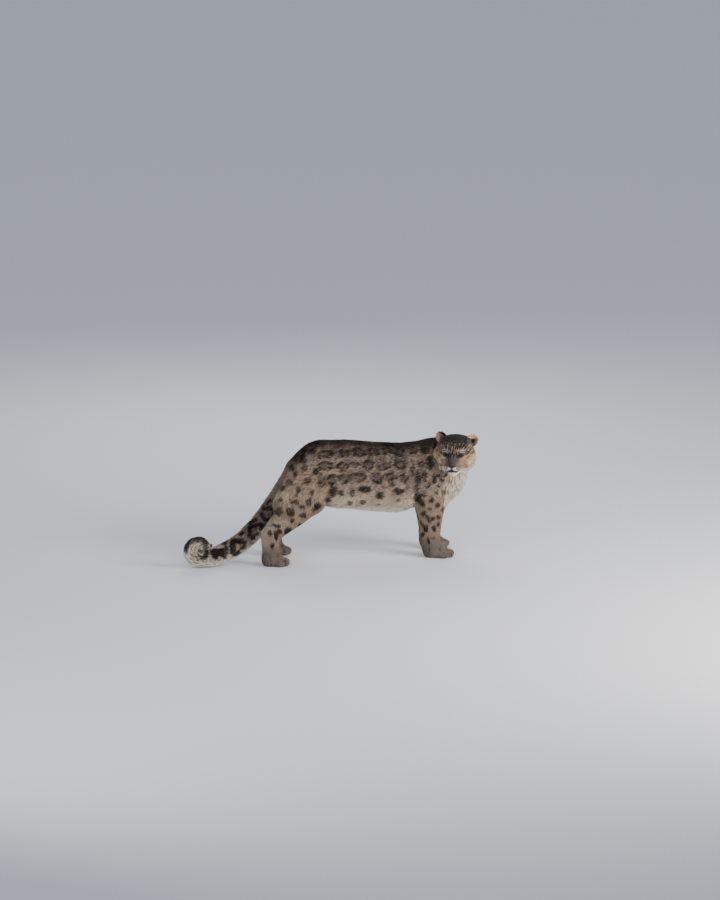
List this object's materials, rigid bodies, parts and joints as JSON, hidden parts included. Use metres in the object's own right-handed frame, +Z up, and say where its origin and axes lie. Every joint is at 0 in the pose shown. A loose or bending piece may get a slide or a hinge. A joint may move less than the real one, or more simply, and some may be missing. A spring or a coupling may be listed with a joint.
{
  "type": "snow leopard",
  "caption": "Still, life-size snow leopard standing on four paws with its head turned aside and its long thick tail laid behind it.",
  "frame": {"origin": "on the floor, under the middle of the part's box", "axes": "+X from the tail towards the chest, +Y towards the animal's left side, +Z up"},
  "size_m": [1.4889, 0.3655, 0.6225],
  "materials": {
    "coat": "thick smoky grey-buff fur with dark broken rosettes and spots",
    "pale_coat": "cream white fur of the feet and chin",
    "nose_skin": "bare damp nose skin, dark with a fine grain",
    "eye": "clear wet eye, pale grey-green iris with a dark round pupil"
  },
  "bodies": {
    "root": {"head": "coat", "lower_jaw": "pale_coat", "nose": "nose_skin", "ear_left": "coat", "ear_right": "coat", "eye_left": "eye", "eye_right": "eye", "neck": "coat", "torso": "coat", "foreleg_left": "coat", "foreleg_right": "coat", "forepaw_left": "pale_coat", "forepaw_right": "pale_coat", "thigh_left": "coat", "thigh_right": "coat", "hindleg_left": "coat", "hindleg_right": "coat", "hindpaw_left": "pale_coat", "hindpaw_right": "pale_coat", "tail_1": "coat", "tail_2": "coat", "tail_3": "coat", "tail_4": "coat", "tail_tip": "coat"}
  },
  "joints": []
}
